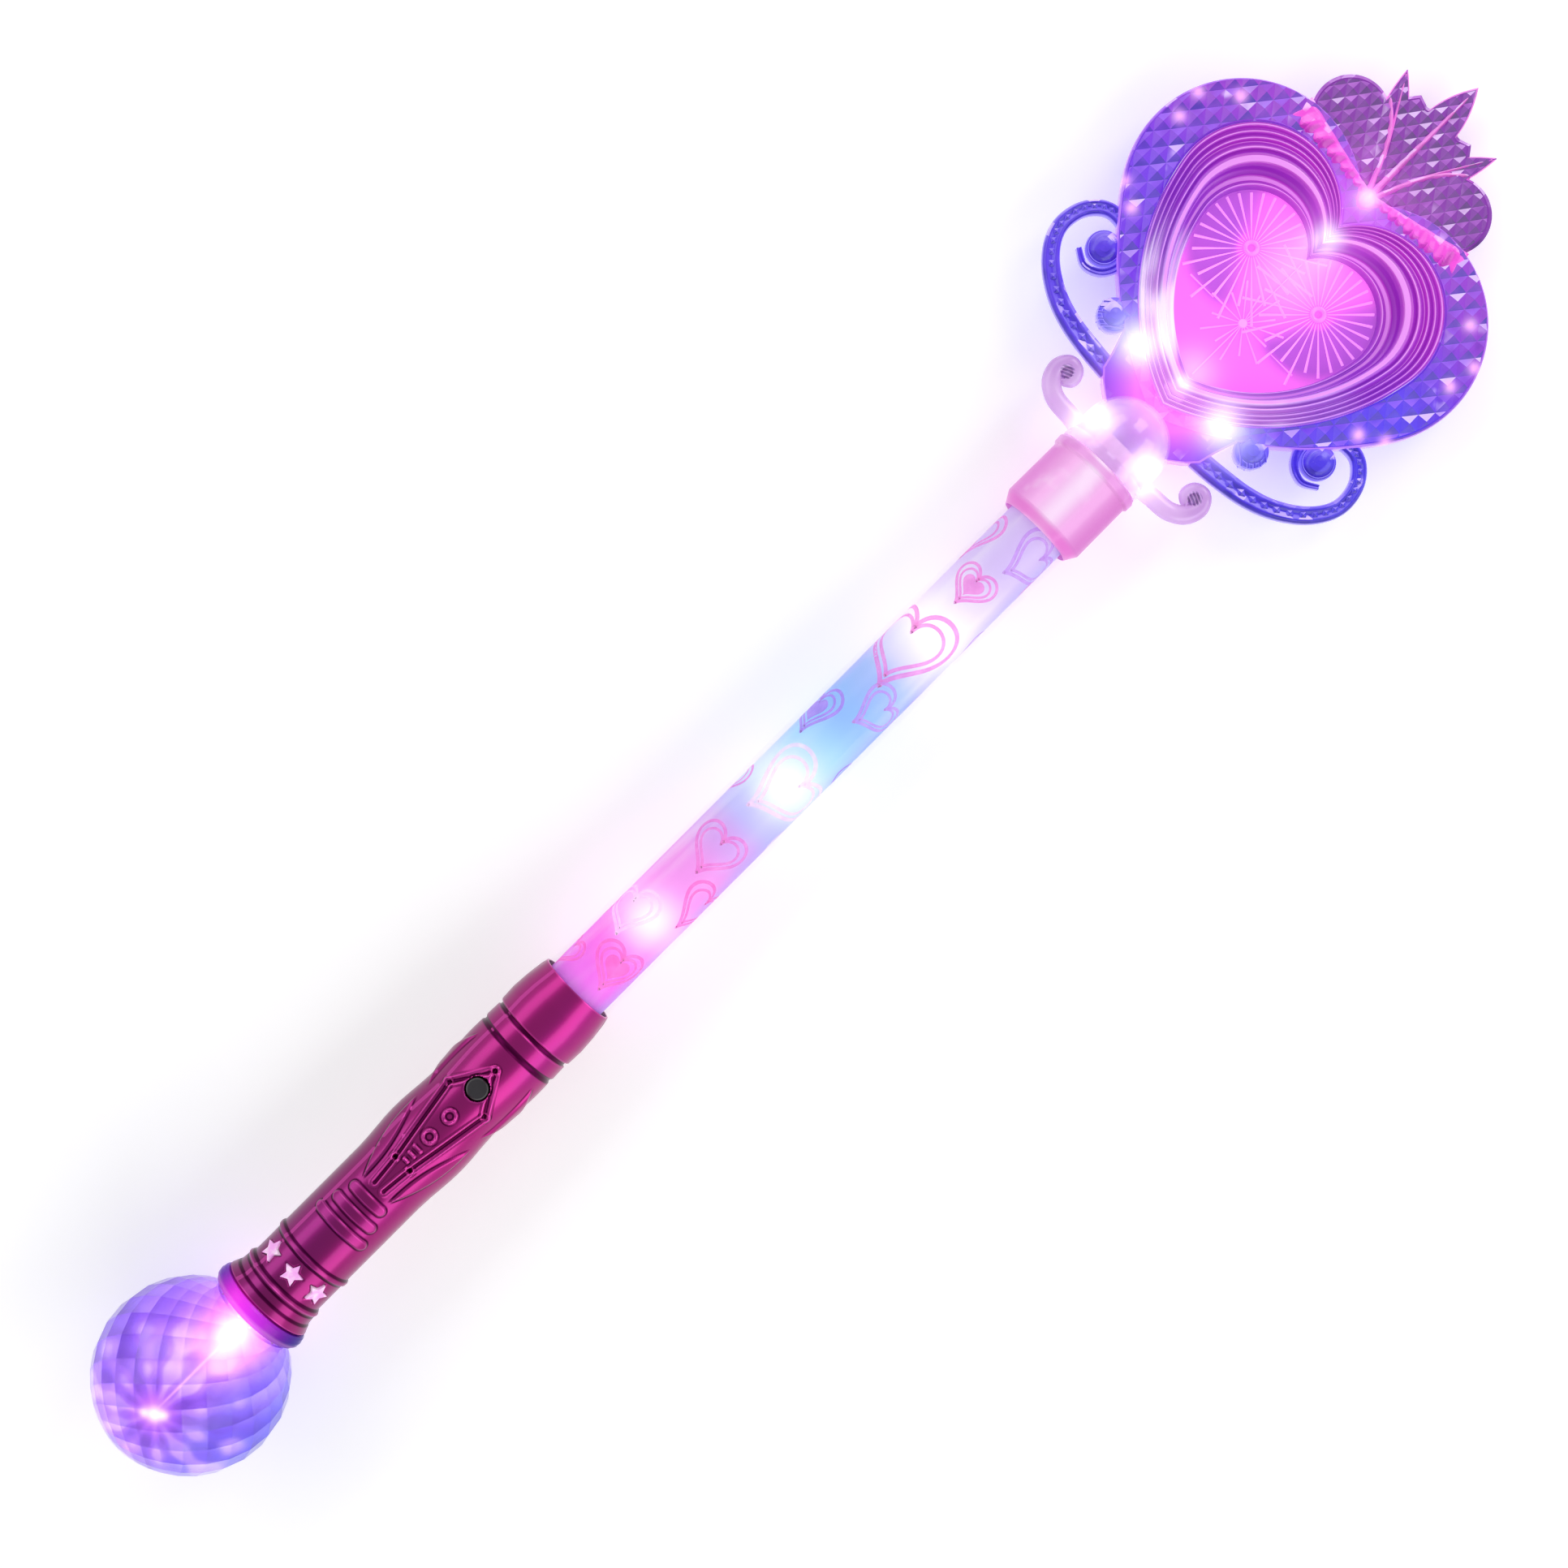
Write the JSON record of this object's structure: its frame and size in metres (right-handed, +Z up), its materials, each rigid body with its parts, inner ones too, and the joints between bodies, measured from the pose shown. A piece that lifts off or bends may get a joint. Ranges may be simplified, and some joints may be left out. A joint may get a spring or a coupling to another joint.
{
  "type": "toy magic wand",
  "caption": "Toy fairy wand: lit heart head with crown and scrolls, frosted light tube with printed hearts, plated handle with push button, faceted crystal ball at the end.",
  "frame": {"origin": "centre of the bounding box at its base, with the wand lying on its back on the ground", "axes": "+X from the crystal ball to the crown, +Z up out of the front face, +Y to the wand's left when held upright and seen from the front"},
  "size_m": [0.4688, 0.1024, 0.049],
  "materials": {
    "crystal": "clear, cut facets",
    "violet_clear": "clear",
    "board_white": "printed circuit board",
    "board_green": "printed circuit board",
    "lamp": "frosted lens",
    "star_lens": "milky",
    "plated": "vacuum plated, mirror",
    "screw_steel": "plated",
    "black_plastic": "satin",
    "cell_case": "nickel plated",
    "contact": "plated spring sheet",
    "button": "gloss",
    "plunger": "satin",
    "lead": "soft insulation",
    "tube": "frosted clear",
    "film": "printed film",
    "ferrule": "frosted",
    "collar": "clear",
    "head": "clear, cut facets",
    "bezel": "clear, ridged",
    "panel": "lit, frosted"
  },
  "bodies": {
    "wand": {"crystal_ball": "crystal", "ball_ring": "violet_clear", "ball_light_board": "board_white", "ball_light": "lamp", "star_lens_ring": "star_lens", "handle_front_shell": "plated", "handle_back_shell": "plated", "handle_screws": "screw_steel", "battery_tray": "black_plastic", "button_cells": "cell_case", "plate_contact": "contact", "leaf_contact": "contact", "switch_housing": "black_plastic", "control_board": "board_green", "ball_leads": "lead", "tube_leads": "lead", "head_leads": "lead", "light_tube": "tube", "printed_film": "film", "tube_light_strip": "board_white", "tube_lights": "lamp", "tube_ferrule": "ferrule", "head_collar": "collar", "head_front_shell": "head", "head_back_shell": "head", "front_bezel": "bezel", "back_bezel": "bezel", "front_panel": "panel", "back_panel": "panel", "head_light_board": "board_white", "head_lights": "lamp"},
    "button": {"power_button": "button", "switch_plunger": "plunger"},
    "door": {"battery_door": "plated", "battery_door_screw": "screw_steel"}
  },
  "joints": [
    {"name": "button_press", "type": "slide", "parent": "wand", "child": "button", "axis": [-0.039, 0, -0.9992], "range_m": [0, 0.0006], "stiffness_N_per_m": 800, "springref_m": -0.0008},
    {"name": "battery_door_lift", "type": "slide", "parent": "wand", "child": "door", "axis": [-0.039, 0, -0.9992], "range_m": [0, 0.009]}
  ]
}
